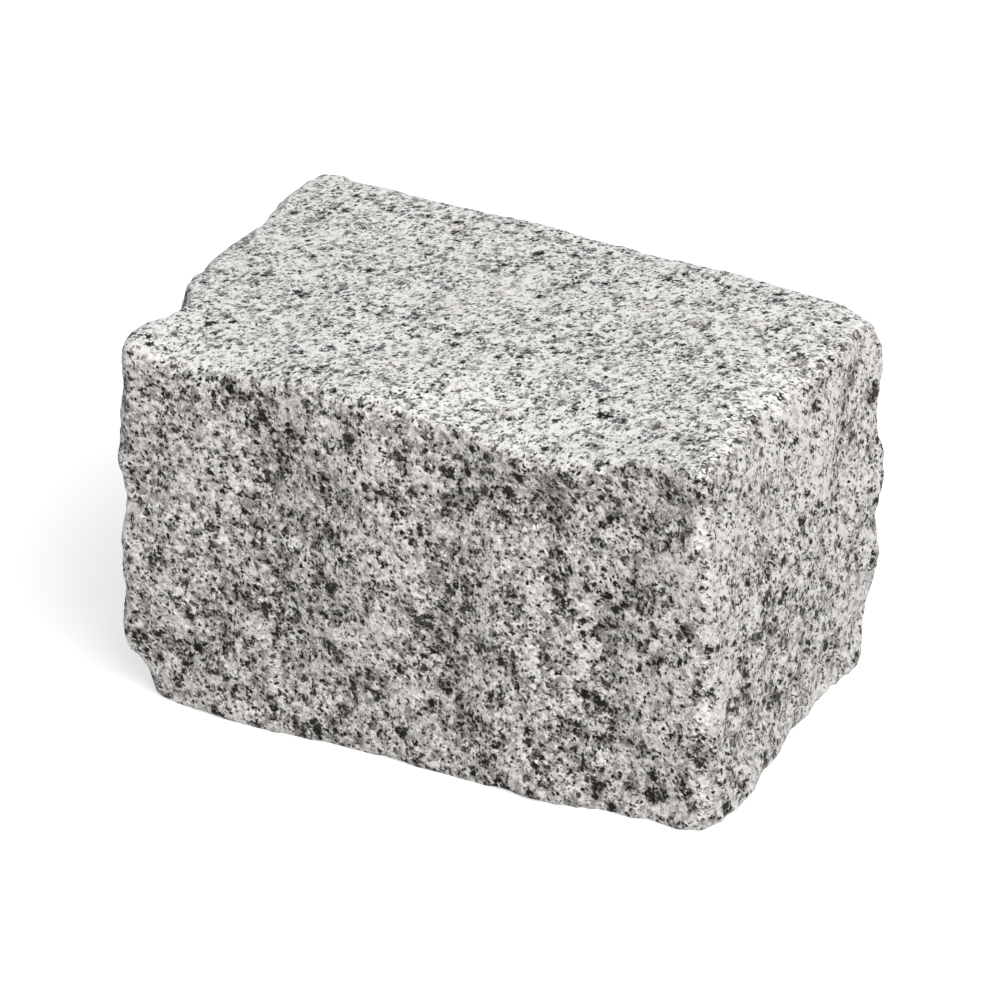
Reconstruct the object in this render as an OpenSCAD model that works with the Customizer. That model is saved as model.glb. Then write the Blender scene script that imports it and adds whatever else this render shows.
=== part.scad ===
// Paving sett: one block of granite, split to a rough cuboid and dressed flat on its bed.
// The origin is at the middle of the bed, +X runs along the sett and +Z up to the tread.
// Its surface is a lattice over the six faces of a block with rounded arrises, which is hewn
// in four steps: relief and chipped arrises, bosses and hollows, corners out of square, spalls.

/* [Block] */
// Length from one end face to the other
sett_length = 217; // [160:1:260]
// Width from the front face to the back face
sett_width = 140; // [110:1:170]
// Height from the bed to the tread
sett_height = 135; // [100:1:170]
// Rounding of the worn arrises
arris_radius = 4; // [3:0.5:8]
// Thickness dressed off the bed to make it flat
bed_dressing = 2; // [1.5:0.1:3]

/* [Tread corners out of square] */
// Front left corner of the tread: how far it stands off square, along and across
tread_front_left = [5.5, -5.5]; // [-12:0.5:12]
// Front right corner of the tread
tread_front_right = [-4.5, 3]; // [-12:0.5:12]
// Back right corner of the tread
tread_back_right = [4.5, -6]; // [-12:0.5:12]
// Back left corner of the tread
tread_back_left = [-8, 12]; // [-12:0.5:12]

/* [Bed corners out of square] */
// Front left corner of the bed: how far it stands off square, along and across
bed_front_left = [-0.5, -5]; // [-12:0.5:12]
// Front right corner of the bed
bed_front_right = [-0.5, 4.5]; // [-12:0.5:12]
// Back right corner of the bed
bed_back_right = [-1.5, -3.5]; // [-12:0.5:12]
// Back left corner of the bed
bed_back_left = [-3.5, 4]; // [-12:0.5:12]

/* [Relief] */
// Depth of the ridges that the splitting left on the four upright faces
ridge_depth = 1.7; // [0:0.1:3]
// Distance from one ridge to the next
ridge_pitch = 28; // [20:1:50]
// How many times longer than wide a ridge is, up the face
ridge_stretch = 3; // [1:0.1:4]
// Depth of the small hewn facets on the upright faces
facet_depth = 1.2; // [0:0.1:2]
// Width of one hewn facet
facet_width = 15; // [12:1:30]
// Share of that relief that the flatter tread and bed keep
tread_share = 0.25; // [0:0.05:0.4]
// Depth of the chips along the arrises
chip_depth = 2.5; // [0:0.1:4]
// Distance from one chip to the next
chip_pitch = 18; // [12:1:40]
// Number that picks one hewing out of many
hewing = 7; // [1:1:99]

/* [Spalls] */
// Radius of the hollow that the lost flake left in the left arris of the tread
left_spall_radius = 24; // [15:1:40]
// Depth of that hollow at the arris
left_spall_depth = 8; // [2:0.5:12]
// Radius of the hollow at the front left corner of the bed
foot_spall_radius = 45; // [25:1:60]
// Depth of that hollow at the corner
foot_spall_depth = 12; // [2:0.5:14]

/* [Surface] */
// Side of one cell of the surface
cell = 6; // [5.5:0.5:12]

/* [Hidden] */
granite_grey = "#bcbab6";

// Half sizes of the block before its bed is dressed, and the height of its middle
half = [sett_length, sett_width, sett_height + bed_dressing] / 2;
mid_height = half.z - bed_dressing;
x_axis = 0;
y_axis = 1;
z_axis = 2;

// Random numbers of the hewing, and the steps between the ones kept at neighbouring grid points
draws = rands(-1, 1, 997, hewing);
grid_steps = [73, 179, 283];
// The grid of random numbers is turned to this frame, so that no row of it lies along a face
grain = [[0.8, 0.6, 0], [-0.48, 0.64, 0.6], [0.36, -0.48, 0.8]];
grid_corners = [for (x = [0, 1], y = [0, 1], z = [0, 1]) [x, y, z]];

// Lattice lines along each arris that stay straight, and how far the rest stray, in cells
arris_lines = 3;
cell_stray = 0.28;

// How fast the chips run out onto the faces, and how much more of an arris is chipped than not
chip_fade = 4;
chip_cover = 0.2;

// Bosses and hollows: the end, side and level each is near, as shares of the half sizes from the
// middle, then its place from there, how far it spreads along each axis, and the way it pushes
bosses = [
    [[0, -1, 1], [48, 0, 0], [42, 26, 30], [0, -2, -9]],      // front arris of the tread, rolled over
    [[-1, -1, 1], [34, 0, 0], [26, 14, 12], [0, 1.5, -4]],    // its left end, rounded off
    [[-1, -1, 1], [0, 20, 0], [16, 24, 14], [0, 0, 2]],       // left end of the tread, standing high
    [[0, -1, 1], [50, 0, -20], [26, 14, 8], [0, 3.5, 0]],     // hollow under the front arris
    [[1, -1, 1], [-12, 0, -14], [10, 14, 9], [0, 3, 0]],      // hollow by the near corner of the tread
    [[1, 0, 1], [0, 0, 0], [12, 50, 14], [-3, 0, -3]],        // right arris of the tread, worn round
    [[-1, -1, 0], [0, 0, -16], [14, 14, 26], [2, 0, 0]],      // hollow on the left upright arris
    [[0, -1, 0], [-88, 0, 0], [16, 14, 50], [0, -2, 0]],      // broad rib at the left of the front face
    [[0, -1, 0], [-52, 0, 24], [12, 14, 26], [0, 4, 0]],      // flutes and ribs down that face
    [[0, -1, 0], [-66, 0, -16], [12, 14, 26], [0, 3.5, 0]],
    [[0, -1, 0], [-42, 0, -34], [10, 14, 22], [0, 3, 0]],
    [[0, -1, 0], [-14, 0, -4], [14, 14, 34], [0, -3, 0]],
    [[0, -1, 0], [12, 0, -30], [11, 14, 20], [0, 3, 0]],
    [[0, -1, 0], [46, 0, -8], [12, 14, 24], [0, -3, 0]],
    [[0, -1, 0], [74, 0, 0], [13, 14, 56], [0, 4, 0]],
    [[0, -1, -1], [84, 0, 14], [10, 14, 12], [0, 2, 0]],      // hollow down to the near bed corner
    [[0, -1, -1], [52, 0, 6], [18, 14, 20], [0, -5, -0.5]],   // foot of the front face
    [[-1, -1, -1], [22, 0, 20], [12, 14, 12], [0, 3, 0]],     // hollow near the left end of the foot
    [[-1, -1, -1], [4, 0, 0], [16, 16, 16], [0, 5, 0]],       // worn left corner of the foot
    [[1, 1, 0], [0, 0, -16], [16, 20, 32], [3.5, 1, 0]],      // boss on the back right upright arris
    [[1, 1, 1], [0, 0, -36], [12, 16, 10], [-2.5, -1, 0]],    // hollow above it
    [[1, 1, 1], [0, 0, 0], [14, 16, 14], [-2, -5, -2]],       // worn corners of the tread
    [[-1, 1, 1], [0, 0, 0], [16, 16, 14], [2.5, -1, 0.3]],
    [[0, 1, 1], [-45, 0, 0], [36, 16, 12], [0, 0.5, 0.5]],    // back arris of the tread, standing high
    [[1, -1, -1], [0, 0, 0], [12, 12, 14], [-2, 2, 0]],       // worn near corner of the bed
    [[1, 0, -1], [0, -34, 0], [14, 16, 14], [3, 0, 0]],       // boss and nick on the right arris of the bed
    [[1, 0, -1], [0, 6, 0], [14, 10, 12], [-2, 0, 1]],
    [[1, 1, -1], [0, -14, 0], [16, 16, 14], [2.5, 0, 0]],     // boss behind the nick
    [[0, 1, 0], [-30, 0, 0], [40, 14, 30], [0, 3, 0]],        // broad boss on the back face
    [[0, 1, -1], [50, 0, 20], [24, 14, 20], [0, -3.5, 0]],    // hollow at the foot of the back face
    [[-1, 0, 0], [0, 25, -10], [14, 26, 26], [-3.5, 0, 0]],   // broad boss on the left end face
    [[-1, 1, -1], [0, -20, 24], [14, 14, 20], [4, 0, 0]]      // hollow at the foot of that face
];

// Spalls: the end, side and level of the arris or corner, the place along it, the way the flake
// came off, and the radius and depth of the hollow it left
spalls = [
    [[-1, -1, 1], [0, 27, 0], [-1, 0, 0.35], left_spall_radius, left_spall_depth],
    [[-1, -1, -1], [0, 0, 4], [-1, -0.45, -0.35], foot_spall_radius, foot_spall_depth]
];

function mix(a, b, t) = a + (b - a) * t;

function unit(v) = v / norm(v);

// A point held inside a box of the given half sizes
function held(p, reach) = [for (a = [x_axis : z_axis]) max(-reach[a], min(reach[a], p[a]))];

// Random value from -1 to 1 kept at a grid point
function draw(place) = draws[abs(place * grid_steps) % len(draws)];

// Share that the low or the high side of a grid cell has in a value between them
function share(side, t) = side == 1 ? t : 1 - t;

// Smooth random value at a point, with about one swell in each unit of length
function wander(p) =
    let (
        low = [for (c = p) floor(c)],
        t = [for (c = p - low) c * c * (3 - 2 * c)]
    )
    [for (g = grid_corners) draw(low + g)]
        * [for (g = grid_corners) share(g.x, t.x) * share(g.y, t.y) * share(g.z, t.z)];

// Height of a surface of rounded scoops that meet in sharp crests, as much above zero as below
function scooped(p) = 0.5 - 2 * abs(wander(p));

// Height of the hewn relief at a point: long ridges up the faces, and small facets
function relief(p) =
    ridge_depth * scooped(grain * [p.x, p.y, p.z / ridge_stretch] / ridge_pitch)
    + facet_depth * scooped(grain * p / facet_width);

// Depth chipped off at a point: most on the middle of an arris, and nothing on the flat of a face
function chipped(p, out) =
    let (flat = max([for (c = out) abs(c)]))
    chip_depth * min(1, chip_fade * (1 - flat)) * max(0, chip_cover + wander(grain * p / chip_pitch));

// Place that a row of the two lists above names
function named_place(row) = [for (a = [x_axis : z_axis]) row[0][a] * half[a]] + row[1];

// How far all bosses and hollows together push a point
function pushed(p) =
    [for (b = bosses)
        let (away = p - named_place(b), spread = b[2])
        exp(-pow(away.x / spread.x, 2) - pow(away.y / spread.y, 2) - pow(away.z / spread.z, 2))]
        * [for (b = bosses) b[3]];

// How far a point moves because the corners of the bed and the tread stand off square
function off_square(p) =
    let (
        t = [for (a = [x_axis : z_axis]) (p[a] / half[a] + 1) / 2],
        front_left = mix(bed_front_left, tread_front_left, t.z),
        front_right = mix(bed_front_right, tread_front_right, t.z),
        back_left = mix(bed_back_left, tread_back_left, t.z),
        back_right = mix(bed_back_right, tread_back_right, t.z),
        shift = mix(mix(front_left, front_right, t.x), mix(back_left, back_right, t.x), t.y)
    )
    [shift.x, shift.y, 0];

// A point pushed out of the ball that each lost flake leaves
function spalled(p, row = 0) =
    row == len(spalls) ? p :
    let (
        s = spalls[row],
        corner = named_place(s),
        centre = corner + off_square(corner) + unit(s[2]) * (s[3] - s[4]),
        away = p - centre
    )
    spalled(norm(away) < s[3] ? centre + s[3] * unit(away) : p, row + 1);

// Point of the hewn surface for a point on the square block
function hewn(p) =
    let (
        core = held(p, half - arris_radius * [1, 1, 1]),
        out = unit(p - core),
        worn = core + arris_radius * out,
        depth = mix(1, tread_share, pow(out.z, 2)),
        raised = worn + out * (depth * relief(worn) - chipped(worn, out)) + pushed(worn)
    )
    spalled(raised + off_square(raised)) + [0, 0, mid_height];

// Lattice lines across a face: even cells, and two narrow ones on each arris
function stations(reach) =
    let (
        inner = reach - arris_radius,
        on_arris = reach - arris_radius / 2,
        cells = round(2 * inner / cell)
    )
    concat([-reach, -on_arris], [for (i = [0 : cells]) mix(-inner, inner, i / cells)], [on_arris, reach]);

// A point with its lattice axes u and v, and w out of the face, turned to stand on the face of one axis
function stood(p, axis) =
    axis == x_axis ? [p.z, p.x, p.y] :
    axis == y_axis ? [p.y, p.z, p.x] : p;

// One face of the block: the axis it crosses, which end of it, and its lattice lines both ways
function face(axis, end) = [axis, end, stations(half[(axis + 1) % 3]), stations(half[(axis + 2) % 3])];
faces = [for (axis = [x_axis : z_axis], end = [-1, 1]) face(axis, end)];

// How far a lattice point strays along its face, so that no two facets are alike
function stray(f, i, j) =
    let (
        lines_out = min(i, j, len(f[2]) - 1 - i, len(f[3]) - 1 - j),
        side = 2 * f[0] + f[1]
    )
    lines_out < arris_lines ? [0, 0, 0] : cell_stray * cell * [draw([i, j, side]), draw([j, side, i]), 0];

// Points of the hewn surface over the lattice of one face
function face_points(f) =
    [for (i = [0 : len(f[2]) - 1], j = [0 : len(f[3]) - 1])
        hewn(stood([f[2][i], f[3][j], f[1] * half[f[0]]] + stray(f, i, j), f[0]))];

// The two triangles of each cell, split along its shorter diagonal and wound clockwise seen from
// outside; the first number of the face's points comes with them
function face_triangles(f, points, first) =
    let (row = len(f[3]))
    [for (i = [0 : len(f[2]) - 2], j = [0 : row - 2])
        let (
            a = i * row + j,
            loop = f[1] > 0 ? [a, a + 1, a + row + 1, a + row] : [a, a + row, a + row + 1, a + 1],
            across = [for (n = [0, 1]) norm(points[loop[n + 2]] - points[loop[n]])],
            turn = across[0] < across[1] ? 0 : 1
        )
        each [for (corners = [[0, 1, 2], [0, 2, 3]]) [for (c = corners) first + loop[(c + turn) % 4]]]];

// How many points the faces before the given one have
function points_before(n) = n == 0 ? 0 : points_before(n - 1) + len(faces[n - 1][2]) * len(faces[n - 1][3]);

// The block with its bed still rough, moved to stand over the origin
module hewn_block() {
    points = [for (f = faces) face_points(f)];
    triangles = [for (n = [0 : len(faces) - 1]) each face_triangles(faces[n], points[n], points_before(n))];
    all_points = [for (face_set = points) each face_set];
    xs = [for (p = all_points) p.x];
    ys = [for (p = all_points) p.y];
    translate([-(min(xs) + max(xs)) / 2, -(min(ys) + max(ys)) / 2, 0])
        polyhedron(points = all_points, faces = triangles);
}

// Everything above the plane that the bed is dressed to
module above_bed() {
    room = 2 * [sett_length, sett_width, sett_height];
    translate([-room.x / 2, -room.y / 2, 0])
        cube(room);
}

module sett() {
    color(granite_grey)
        intersection() {
            hewn_block();
            above_bed();
        }
}

sett();
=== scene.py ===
import math

import bpy
import numpy as np
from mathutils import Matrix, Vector, noise


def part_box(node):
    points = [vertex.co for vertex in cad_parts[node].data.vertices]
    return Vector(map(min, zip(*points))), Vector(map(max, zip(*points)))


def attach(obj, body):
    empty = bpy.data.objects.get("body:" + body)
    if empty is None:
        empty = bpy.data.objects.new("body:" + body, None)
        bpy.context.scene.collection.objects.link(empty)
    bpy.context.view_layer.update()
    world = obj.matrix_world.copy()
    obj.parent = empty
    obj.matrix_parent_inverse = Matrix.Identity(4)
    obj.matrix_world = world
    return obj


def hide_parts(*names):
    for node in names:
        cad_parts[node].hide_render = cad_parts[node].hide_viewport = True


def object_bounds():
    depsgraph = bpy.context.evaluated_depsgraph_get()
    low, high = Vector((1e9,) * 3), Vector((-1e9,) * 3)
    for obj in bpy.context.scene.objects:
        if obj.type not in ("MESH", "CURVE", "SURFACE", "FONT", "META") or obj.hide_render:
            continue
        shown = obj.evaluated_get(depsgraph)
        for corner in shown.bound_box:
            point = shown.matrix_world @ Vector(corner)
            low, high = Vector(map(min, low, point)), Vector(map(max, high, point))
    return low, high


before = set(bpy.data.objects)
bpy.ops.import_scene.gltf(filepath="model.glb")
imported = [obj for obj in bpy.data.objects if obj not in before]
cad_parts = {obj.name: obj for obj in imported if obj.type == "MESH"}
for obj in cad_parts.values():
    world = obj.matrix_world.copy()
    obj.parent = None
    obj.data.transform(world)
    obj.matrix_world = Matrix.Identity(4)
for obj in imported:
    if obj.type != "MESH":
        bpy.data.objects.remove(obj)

cad_low, cad_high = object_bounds()


# ---- Camera ----
# A long lens looks down on the near corner between the front face and the right end face. It aims at
# the middle of the block, from between five and six times the block's length away.
LENS = 135.0
AZIMUTH = math.radians(26.9)
ELEVATION = math.radians(28.3)
DISTANCE_IN_LENGTHS = 5.536
AIM_OFFSET = Vector((-0.0003, -0.0001, -0.0035))

length = (cad_high - cad_low).x
back = Vector((
    math.sin(AZIMUTH) * math.cos(ELEVATION),
    -math.cos(AZIMUTH) * math.cos(ELEVATION),
    math.sin(ELEVATION),
))
camera = bpy.data.objects.new("camera", bpy.data.cameras.new("camera"))
bpy.context.scene.collection.objects.link(camera)
bpy.context.scene.camera = camera
camera.data.lens = LENS
camera.location = (cad_low + cad_high) / 2 + AIM_OFFSET + back * (DISTANCE_IN_LENGTHS * length)
camera.rotation_euler = back.to_track_quat("Z", "Y").to_euler()


# ---- The sett ----
# The whole object: one block of light grey granite, split on its four sides and dressed flat on its
# bed. Its skin is the hewn form in small even quads, broken up along the flakes of the split stone.
QUAD = 0.00138            # side of one quad of the skin
FORM_SMOOTHING = 2        # passes that take the flats of the hewn form out of the skin
CRISPNESS = 0.9           # how much the arrises and crests of the form are then sharpened again
NEAR = 8                  # passes that average a point with the stone some 3 mm about it
FAR = 90                  # passes that do so over some 12 mm
CREST = 0.0008            # how far a full crest stands out of the stone near it
PIT = 0.0010              # how far a full hollow lies under the stone about it
SWELL = 0.0005            # rise of the broad swells of the split faces
SWELLS_IN_A_METRE = 55
SHEET = 0.0008            # rise of the long flakes that run up the split faces
SHEET_WIDTH = 0.015
BRUISE = 0.0008           # depth of the stone knocked off the crests
BRUISES_IN_A_METRE = 160
UP_THE_FACE = 0.6         # swells and long flakes are longer than wide by this share, up the face
SET_BACK = 0.0002         # how far the skin lies inside the form, to leave room for its flakes
FOOT = 0.015              # height over which the flakes fade out towards the bed
FACE_FROM = 0.55          # how squarely a point has to look out of a face to begin to belong to it
FACE_FULL = 0.90          # how squarely, to belong to it wholly
# The smaller flakes: width, rise, share of the rise that a dressed face keeps, seed
FLAKES = (
    (0.0060, 0.00045, 0.25, 11.0),
    (0.0034, 0.00025, 0.40, 37.0),
    (0.0024, 0.00018, 0.60, 23.0),
)

low, high = (np.array(corner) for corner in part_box("sett"))
form = bpy.data.objects.new("form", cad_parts["sett"].data.copy())
bpy.context.scene.collection.objects.link(form)
even = form.modifiers.new("even_quads", "REMESH")
even.mode = "VOXEL"
even.voxel_size = QUAD
mesh = bpy.data.meshes.new_from_object(form.evaluated_get(bpy.context.evaluated_depsgraph_get()))
mesh.name = "granite_sett"
mesh.materials.clear()
bpy.data.objects.remove(form)


def read(items, name, width, kind=float):
    """One property of many mesh items, as an array with a row for each."""
    values = np.empty(len(items) * width, kind)
    items.foreach_get(name, values)
    return values.reshape(-1, width)


edges = read(mesh.edges, "vertices", 2, np.int32)


def smoothed(values, passes):
    """Values at the vertices, averaged with their neighbours' a number of times."""
    count = np.bincount(edges.ravel(), minlength=len(values))[:, None]
    for _ in range(passes):
        total = np.zeros_like(values)
        np.add.at(total, edges[:, 0], values[edges[:, 1]])
        np.add.at(total, edges[:, 1], values[edges[:, 0]])
        values = (values + total / count) / 2
    return values


def facing(axis):
    """How far each point belongs to the two faces that an axis crosses."""
    return np.clip((np.abs(level[:, axis]) - FACE_FROM) / (FACE_FULL - FACE_FROM), 0, 1)


def flakes(point, width, seed):
    """Height of a surface broken into flat flakes, each tilted its own way."""
    near = point * (1.7 / width)
    bend = Vector([noise.noise(near + Vector((far, far, far))) for far in (0.0, 31.0, 67.0)])
    bent = point / width + bend * 0.35 + Vector((seed, seed, seed))
    distances, hearts = noise.voronoi(bent)
    tilts = [noise.cell_vector(heart * 7.31) * 2 - Vector((1, 1, 1)) for heart in hearts[:2]]
    own, next_one = ((bent - heart).dot(tilt) for heart, tilt in zip(hearts, tilts))
    # Over the last tenth of its width a flake runs into the next one
    share = min(1.0, (distances[1] - distances[0]) / 0.12)
    return own * (0.5 + share / 2) + next_one * (0.5 - share / 2)


def relief(point, dressed, crest):
    """How far the split surface stands out at a point, from the broad swells down to the grains."""
    drawn_out = Vector((point.x, point.y, point.z * UP_THE_FACE))
    height = SWELL * (1 - dressed) * noise.fractal(drawn_out * SWELLS_IN_A_METRE, 0.9, 2.1, 3)
    height += SHEET * (1 - 0.9 * dressed) * flakes(drawn_out, SHEET_WIDTH, 3.0)
    for width, rise, kept, seed in FLAKES:
        height += rise * (1 - (1 - kept) * dressed) * flakes(point, width, seed)
    return height - BRUISE * crest * max(0.0, 0.15 + noise.noise(point * BRUISES_IN_A_METRE))


points = smoothed(read(mesh.vertices, "co", 3), FORM_SMOOTHING)
points += CRISPNESS * (points - smoothed(points, NEAR))
mesh.vertices.foreach_set("co", points.ravel())
normals = read(mesh.vertex_normals, "vector", 3)
level = smoothed(normals, 5)
dressed = facing(2)
arris = np.clip(np.einsum("ij,ij->i", points - smoothed(points, NEAR), normals) / CREST, 0, 1)
heights = np.array([relief(Vector(p), d, a) for p, d, a in zip(points, dressed, arris)])
heights *= np.clip(0.3 + (points[:, 2] - low[2]) / FOOT, 0, 1)
points = np.clip(points + normals * (heights - SET_BACK)[:, None], low, high)
mesh.vertices.foreach_set("co", points.ravel())
mesh.polygons.foreach_set("use_smooth", np.ones(len(mesh.polygons), bool))

# What the stone's colour needs to know of each point, for its finish and for its painted shade: on the
# tread, on an end face, in a hollow, or on a crest
depth = np.einsum("ij,ij->i", smoothed(points, FAR) - points, level)
finish_and_shade_masks = {
    "tread": dressed * (level[:, 2] > 0),
    "end": facing(0),
    "hollow": np.clip(depth / PIT, -0.3, 1) * (1 - dressed),
    "arris": arris,
}
for name, values in finish_and_shade_masks.items():
    mesh.attributes.new(name, "FLOAT", "POINT").data.foreach_set("value", values.astype(np.float32))


# Islands of the texture map: the long faces in one column, the ends and the smaller bed in the other
ISLAND_EDGE = 0.004       # share of an island left bare along each of its sides


def map_islands():
    """Texture place of every corner of every quad: each quad lies on the face it looks towards most."""
    across, deep, tall = high - low
    total = (across + deep, deep + tall + tall)
    islands = [
        ((across, 0), (deep, tall)), ((across, deep), (deep, tall)),
        ((0, deep), (across, tall)), ((0, deep + tall), (across, tall)),
        ((across, deep + tall), (deep, deep * deep / across)), ((0, 0), (across, deep)),
    ]
    corners = read(mesh.loops, "vertex_index", 1, np.int32).reshape(-1, 4)
    look = level[corners].mean(axis=1)
    axis = np.abs(look).argmax(axis=1)
    outwards = np.take_along_axis(look, axis[:, None], axis=1)[:, 0] > 0
    share = (points - low) / (high - low)
    uv = np.empty((len(corners), 4, 2))
    for n, (corner, extent) in enumerate(islands):
        own = (axis == n // 2) & (outwards == n % 2)
        flat = np.delete(share[corners[own]], n // 2, axis=-1)
        inset = ISLAND_EDGE + (1 - 2 * ISLAND_EDGE) * flat
        uv[own] = (np.array(corner) + inset * extent) / total
    return uv


mesh.uv_layers.new(name="OFBake").data.foreach_set("uv", map_islands().astype(np.float32).ravel())
sett = bpy.data.objects.new("granite_sett", mesh)
bpy.context.scene.collection.objects.link(sett)

# Colours of the minerals and of the worn stone, and a painted shade for the end faces
PALE_FELDSPAR = (0.955, 0.932, 0.904, 1)
DULL_FELDSPAR = (0.86, 0.838, 0.808, 1)
BLUSHED_FELDSPAR = (0.86, 0.74, 0.67, 1)
CLOUDED_FELDSPAR = (0.435, 0.412, 0.394, 1)
TREAD_FELDSPAR = (0.98, 0.962, 0.948, 1)
END_PAINTED_SHADE = (0.585, 0.570, 0.552, 1)
BRUISED_STONE = (0.93, 0.915, 0.896, 1)
QUARTZ = (0.226, 0.212, 0.200, 1)
MICA = (0.0064, 0.0053, 0.0045, 1)
# Direction in the stone along which its grains lie longest, and the share by which they are longer
GRAIN = (0.24, 0.74, -0.63)
LONGER = 0.34
# Widths of its grains, in millimetres
FELDSPAR_WIDTH = 2.3
LARGE_MICA_WIDTH = 2.8
SMALL_MICA_WIDTH = 1.35
HUDDLE_WIDTH = 5.3
CHIP_WIDTH = 0.9


def add(tree, kind, inputs=(), **settings):
    """A shader node with its settings made and its inputs set or linked."""
    node = tree.nodes.new(kind)
    for name, value in settings.items():
        setattr(node, name, value)
    for name, value in dict(inputs).items():
        if isinstance(value, bpy.types.NodeSocket):
            tree.links.new(value, node.inputs[name])
        else:
            node.inputs[name].default_value = value
    return node


def granite():
    """White feldspar, grey quartz and black mica, in grains of one to three millimetres."""
    material = bpy.data.materials.new("hewn_granite")
    material.use_nodes = True
    tree = material.node_tree
    shader = tree.nodes["Principled BSDF"]

    def chain(operation, first, *others):
        for other in others:
            first = add(tree, "ShaderNodeMath", {0: first, 1: other}, operation=operation).outputs[0]
        return first

    def plus(*values):
        return chain("ADD", *values)

    def minus(*values):
        return chain("SUBTRACT", *values)

    def times(*values):
        return chain("MULTIPLY", *values)

    def vector(operation, *inputs):
        return add(tree, "ShaderNodeVectorMath", enumerate(inputs), operation=operation).outputs[0]

    def step(value, low, high, out_low=0.0, out_high=1.0):
        """Smooth step of a value from one level to another."""
        return add(tree, "ShaderNodeMapRange", {
            "Value": value, "From Min": low, "From Max": high, "To Min": out_low, "To Max": out_high,
        }, interpolation_type="SMOOTHSTEP").outputs["Result"]

    def mix(share, a, b):
        return add(tree, "ShaderNodeMix", {0: share, 6: a, 7: b}, data_type="RGBA").outputs[2]

    def clouds(width, detail, roughness, seed):
        """Smooth random value about zero, with swells of a width in millimetres."""
        moved = vector("ADD", millimetres, (seed, seed, seed))
        swells = add(tree, "ShaderNodeTexNoise", {
            "Vector": moved, "Scale": 1 / width, "Detail": detail, "Roughness": roughness,
        })
        return minus(swells.outputs["Fac"], 0.5)

    def crystals(width):
        """Mosaic of crystals of a width in millimetres: distance to the heart, and two random values."""
        mosaic = add(tree, "ShaderNodeTexVoronoi", {"Vector": ragged, "Scale": 1 / width})
        random = add(tree, "ShaderNodeSeparateColor", {"Color": mosaic.outputs["Color"]}).outputs
        return mosaic.outputs["Distance"], random[0], random[1]

    def blots(width, mica_and_painted_shade):
        """Dark blots, one of its own size and darkness in each crystal of a mosaic."""
        heart, chance, tint = crystals(width)
        inside = plus(minus(times(chance, 0.85), 0.19, heart), mica_and_painted_shade, speckle)
        shade = plus(times(tint, plus(times(tread, 0.2), 0.25)), 0.86, times(tread, -0.2))
        darkness = times(step(inside, -0.15, 0.34), shade)
        return chain("MINIMUM", darkness, 1.0)

    def finish(name):
        """What the skin says of each point: tread, end, hollow or arris, for finish and painted shade."""
        return add(tree, "ShaderNodeAttribute", attribute_name=name).outputs["Fac"]

    # Place in the stone, in millimetres, drawn out along the grain; and the same place shifted about
    # by a millimetre or so, which gives the crystals ragged edges
    place = vector("MULTIPLY", add(tree, "ShaderNodeTexCoord").outputs["Object"], (1000, 1000, 1000))
    along = add(tree, "ShaderNodeVectorMath", {0: place, 1: GRAIN}, operation="DOT_PRODUCT").outputs["Value"]
    drawn = add(tree, "ShaderNodeVectorMath", {0: GRAIN, "Scale": along}, operation="SCALE").outputs[0]
    millimetres = vector("MULTIPLY_ADD", drawn, (-LONGER, -LONGER, -LONGER), place)
    wander = add(tree, "ShaderNodeTexNoise", {"Vector": millimetres, "Scale": 0.6, "Detail": 3.0})
    centred = vector("SUBTRACT", wander.outputs["Color"], (0.5, 0.5, 0.5))
    ragged = vector("MULTIPLY_ADD", centred, (2.2, 2.2, 2.2), millimetres)

    # How much mica there is: in patches and huddles, less on worn stone and on
    # the end faces, which cut across its flakes; and painted shade in the hollows, drawn as more mica there
    tread, end, hollow, arris = (finish(name) for name in finish_and_shade_masks)
    bruised = times(step(arris, 0.45, 1.0), step(clouds(4.0, 3.0, 0.6, 97.0), -0.12, 0.12, 0.1, 1.0))
    heart, chance, _ = crystals(HUDDLE_WIDTH)
    huddles = step(minus(times(chance, 0.85), heart), 0.10, 0.60, -0.03, 0.28)
    patches = times(clouds(8.3, 2.0, 0.5, 40.0), -0.6)
    drifts = times(clouds(20.0, 2.0, 0.5, 61.0), 0.3)
    mica_and_painted_shade = plus(
        times(plus(huddles, patches), minus(1.0, times(tread, 0.45))),
        times(drifts, minus(1.0, tread)),
        # Painted shade: more dark mica, and with it grey quartz, in the hollows of the split faces
        times(hollow, 0.08),
        times(tread, -0.035),
        times(end, -0.04),
        times(bruised, -0.04),
    )

    # Feldspar: white crystals of slightly different tone, blushed and clouded in places
    _, tone, lift = crystals(FELDSPAR_WIDTH)
    stone = mix(tone, DULL_FELDSPAR, PALE_FELDSPAR)
    stone = mix(step(clouds(4.5, 4.0, 0.65, 83.0), 0.0, 0.22, 0.0, 0.35), stone, BLUSHED_FELDSPAR)
    stone = mix(step(clouds(1.5, 4.0, 0.65, 53.0), 0.10, -0.12, 0.0, 0.7), stone, CLOUDED_FELDSPAR)
    stone = mix(times(tread, 0.7), stone, TREAD_FELDSPAR)
    # Painted shade: the feldspar of the end faces is darkened, standing in for less light falling on them
    stone = mix(times(end, 0.6), stone, END_PAINTED_SHADE)
    stone = mix(times(bruised, 0.4), stone, BRUISED_STONE)
    # Quartz: soft smoky grey between the white crystals
    smoke = plus(
        clouds(2.3, 4.0, 0.62, 7.0),
        times(clouds(0.5, 3.0, 0.7, 67.0), 0.5),
        times(mica_and_painted_shade, -0.5),
        times(chain("MAXIMUM", tread, bruised), 0.05),
    )
    stone = mix(step(smoke, 0.09, -0.13, 0.0, 0.9), stone, QUARTZ)
    # Mica: black blots of one to four millimetres, each a huddle of finer specks
    speckle = times(clouds(0.95, 3.0, 0.68, 19.0), 2.5)
    large = blots(LARGE_MICA_WIDTH, plus(mica_and_painted_shade, 0.035))
    small = blots(SMALL_MICA_WIDTH, plus(mica_and_painted_shade, 0.075))
    stone = mix(chain("MAXIMUM", large, small), stone, MICA)
    tree.links.new(stone, shader.inputs["Base Color"])

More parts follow.
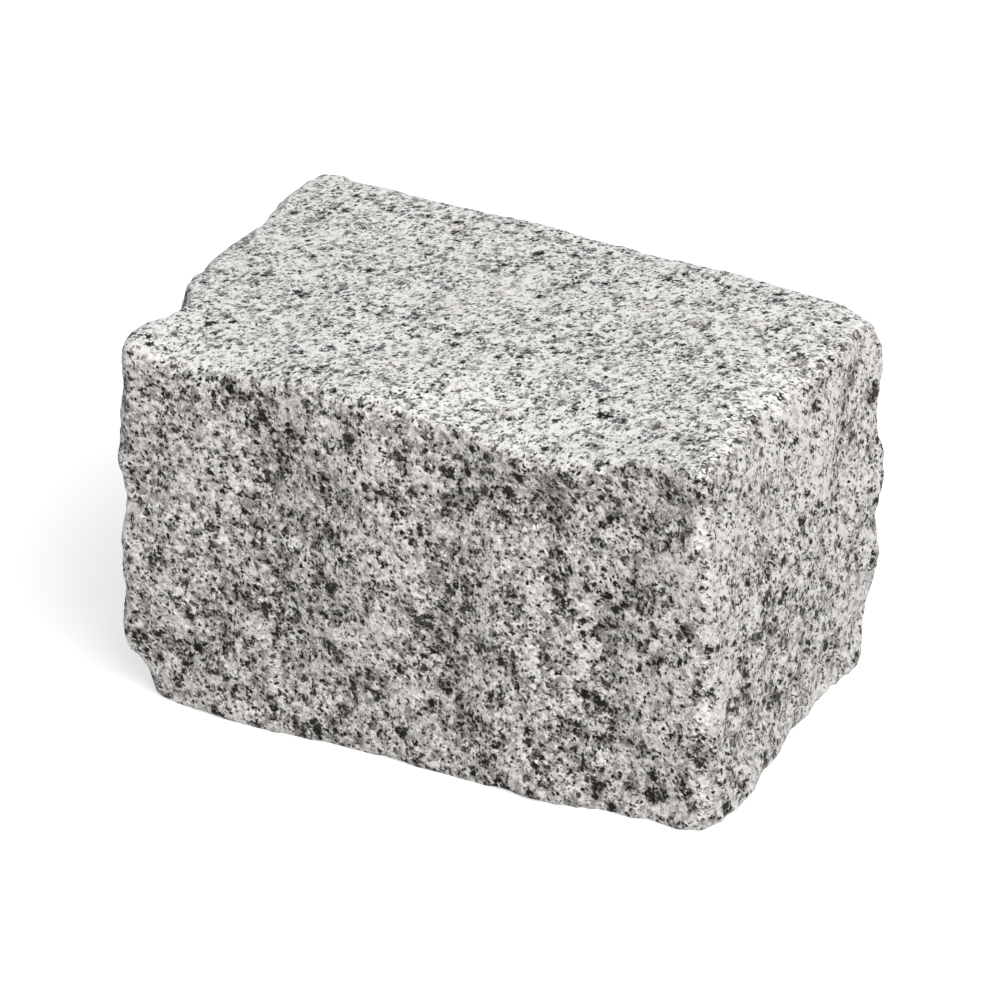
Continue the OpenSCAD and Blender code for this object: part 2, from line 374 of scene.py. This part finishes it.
    # Broken crystals stand higher and lower than their neighbours, and each is rough itself
    _, _, chips = crystals(CHIP_WIDTH)
    height = plus(
        times(lift, 0.6),
        times(chips, 0.5),
        times(speckle, 0.3),
        times(clouds(0.45, 3.0, 0.6, 29.0), 1.2),
    )
    bump = add(tree, "ShaderNodeBump", {"Height": height, "Strength": 0.65, "Distance": 0.0006})
    tree.links.new(bump.outputs[0], shader.inputs["Normal"])
    shader.inputs["Roughness"].default_value = 0.75
    shader.inputs["Specular IOR Level"].default_value = 0.15
    return material


mesh.materials.append(granite())
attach(sett, "root")
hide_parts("sett")


# ---- Floor and studio light ----
# A wide pale floor that the block stands on, one large soft light up to its right and a pale surround
# on all sides. Floor and surround are seen white, and the floor keeps the block's shadow.
FLOOR_HALF = 6.0
FLOOR_GLOW = 0.45        # how much whiter the floor is seen than it is lit
SURROUND = 0.47          # light that the surround gives, where white is 1
SOFTBOX_SIZE = 2.6
SOFTBOX_POWER = 96.0
SOFTBOX_PLACE = (2.05, -1.0, 2.1)

floor_mesh = bpy.data.meshes.new("floor")
floor_corners = [(x * FLOOR_HALF, y * FLOOR_HALF, 0) for x, y in ((-1, -1), (1, -1), (1, 1), (-1, 1))]
floor_mesh.from_pydata(floor_corners, [], [(0, 1, 2, 3)])
floor = bpy.data.objects.new("floor", floor_mesh)
bpy.context.scene.collection.objects.link(floor)


def seen(tree):
    """One for the rays that show the surroundings, straight or by way of gloss or glass."""
    path = add(tree, "ShaderNodeLightPath").outputs
    share = path["Is Camera Ray"]
    for way in ("Is Glossy Ray", "Is Transmission Ray"):
        share = add(tree, "ShaderNodeMath", {0: share, 1: path[way]}, operation="MAXIMUM").outputs[0]
    return share


def studio_floor():
    """Matt white paint that is seen a little brighter than it is lit."""
    paint = bpy.data.materials.new("studio_floor")
    paint.use_nodes = True
    tree = paint.node_tree
    shader = tree.nodes["Principled BSDF"]
    shader.inputs["Base Color"].default_value = (0.85, 0.85, 0.85, 1)
    shader.inputs["Roughness"].default_value = 0.9
    shader.inputs["Emission Color"].default_value = (1, 1, 1, 1)
    glow = add(tree, "ShaderNodeMath", {0: seen(tree), 1: FLOOR_GLOW}, operation="MULTIPLY")
    tree.links.new(glow.outputs[0], shader.inputs["Emission Strength"])
    return paint


floor_mesh.materials.append(studio_floor())

softbox = bpy.data.objects.new("softbox", bpy.data.lights.new("softbox", "AREA"))
bpy.context.scene.collection.objects.link(softbox)
softbox.data.size = SOFTBOX_SIZE
softbox.data.energy = SOFTBOX_POWER
softbox.location = SOFTBOX_PLACE
block_middle = Vector((0, 0, (cad_low.z + cad_high.z) / 2))
softbox.rotation_euler = (softbox.location - block_middle).to_track_quat("Z", "Y").to_euler()

world = bpy.data.worlds.new("surround")
bpy.context.scene.world = world
world.use_nodes = True
background = world.node_tree.nodes["Background"]
background.inputs["Color"].default_value = (1, 1, 1, 1)
strength = add(world.node_tree, "ShaderNodeMapRange", {
    "Value": seen(world.node_tree), "To Min": SURROUND, "To Max": 1.0,
})
world.node_tree.links.new(strength.outputs["Result"], background.inputs["Strength"])
bpy.context.scene.view_settings.view_transform = "Standard"
